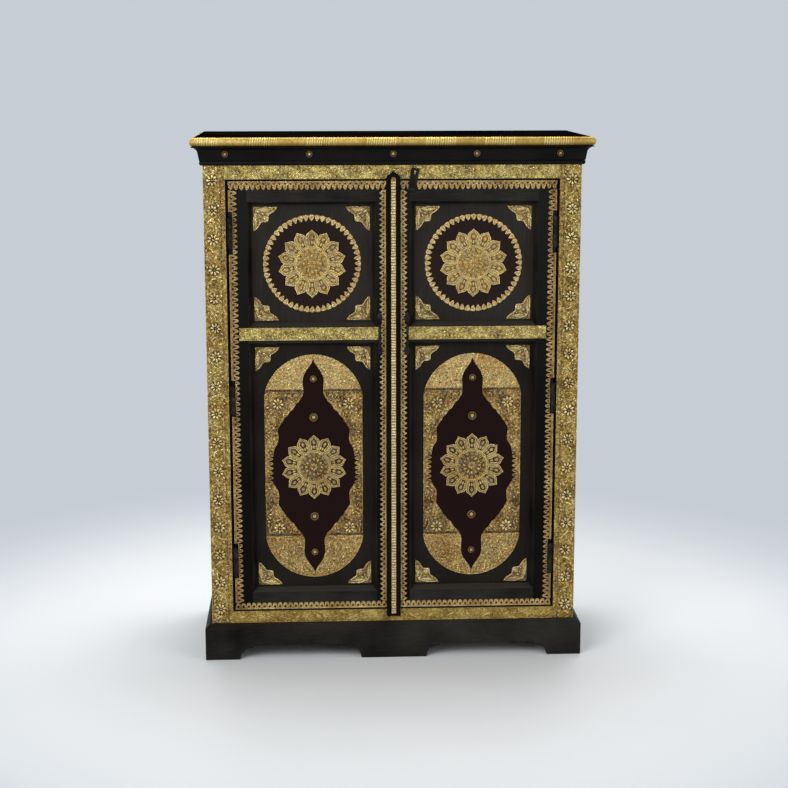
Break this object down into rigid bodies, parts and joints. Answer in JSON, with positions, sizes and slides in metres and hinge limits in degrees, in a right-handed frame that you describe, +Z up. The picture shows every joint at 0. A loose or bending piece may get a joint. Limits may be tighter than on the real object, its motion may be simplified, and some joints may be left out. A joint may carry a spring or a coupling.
{
  "type": "two-door cabinet",
  "caption": "Black wooden two-door cabinet on bracket feet, faced with embossed brass sheet, pierced brass panel work, rosettes, toothed edgings, iron pulls and a hasp.",
  "frame": {"origin": "on the floor under the middle of the whole cabinet", "axes": "+X to the right seen from the front, +Y towards the back, +Z up"},
  "size_m": [1, 0.43, 1.34],
  "materials": {
    "painted_frame": "black lacquer, worn satin",
    "stained_panel": "dark red-brown stain, satin",
    "stained_board": "thin dark stain, dull",
    "brass_sheet": "embossed, polished on the heights, dark in the hollows",
    "brass_relief": "chased and pierced, mellow patina",
    "black_iron": "forged, blackened"
  },
  "bodies": {
    "carcass": {"back_boards": "stained_board", "cornice_front": "painted_frame", "cornice_sides": "painted_frame", "cornice_studs": "brass_relief", "door_stops": "stained_board", "floor_board": "stained_board", "front_bottom_rail": "painted_frame", "front_stile_left": "painted_frame", "front_stile_right": "painted_frame", "front_top_rail": "painted_frame", "hasp_peg": "black_iron", "hinge_body_leaves": "black_iron", "hinge_pins": "black_iron", "nosing_brass": "brass_sheet", "plinth_front": "painted_frame", "plinth_rear": "stained_board", "plinth_sides": "painted_frame", "rail_brass": "brass_sheet", "rear_stiles": "stained_board", "shelf_cleats": "stained_board", "shelves": "stained_board", "side_panel_left": "stained_panel", "side_panel_right": "stained_panel", "side_rails": "painted_frame", "stile_brass": "brass_sheet", "top_board": "painted_frame"},
    "left_door": {"left_corner_brackets": "brass_relief", "left_edging_brass": "brass_relief", "left_handle": "black_iron", "left_hinge_leaves": "black_iron", "left_hinge_stile": "painted_frame", "left_lower_panel": "stained_panel", "left_meeting_stile": "painted_frame", "left_middle_rail_brass": "brass_sheet", "left_panel_mouldings": "painted_frame", "left_panel_studs": "brass_relief", "left_rails": "painted_frame", "left_rosettes": "brass_relief", "left_spandrels": "brass_relief", "left_tooth_ring": "brass_relief", "left_upper_panel": "stained_panel"},
    "right_door": {"right_corner_brackets": "brass_relief", "right_edging_brass": "brass_relief", "right_handle": "black_iron", "right_hinge_leaves": "black_iron", "right_hinge_stile": "painted_frame", "right_lower_panel": "stained_panel", "right_meeting_stile": "painted_frame", "right_middle_rail_brass": "brass_sheet", "right_panel_mouldings": "painted_frame", "right_panel_studs": "brass_relief", "right_rails": "painted_frame", "right_rosettes": "brass_relief", "right_spandrels": "brass_relief", "right_tooth_ring": "brass_relief", "right_upper_panel": "stained_panel", "centre_batten": "painted_frame", "batten_brass": "brass_relief", "hasp_bracket": "black_iron"},
    "hasp": {"hasp_strap": "black_iron"}
  },
  "joints": [
    {"name": "left_door_hinge", "type": "hinge", "parent": "carcass", "child": "left_door", "pos_m": [-0.4045, -0.1901, 0.681], "axis": [0, 0, -1], "range_deg": [0, 170]},
    {"name": "right_door_hinge", "type": "hinge", "parent": "carcass", "child": "right_door", "pos_m": [0.4045, -0.1901, 0.681], "axis": [0, 0, 1], "range_deg": [0, 170]},
    {"name": "hasp_pivot", "type": "hinge", "parent": "right_door", "child": "hasp", "pos_m": [0.0475, -0.192, 1.22], "axis": [0.9848, 0, -0.1736], "range_deg": [0, 170]}
  ]
}
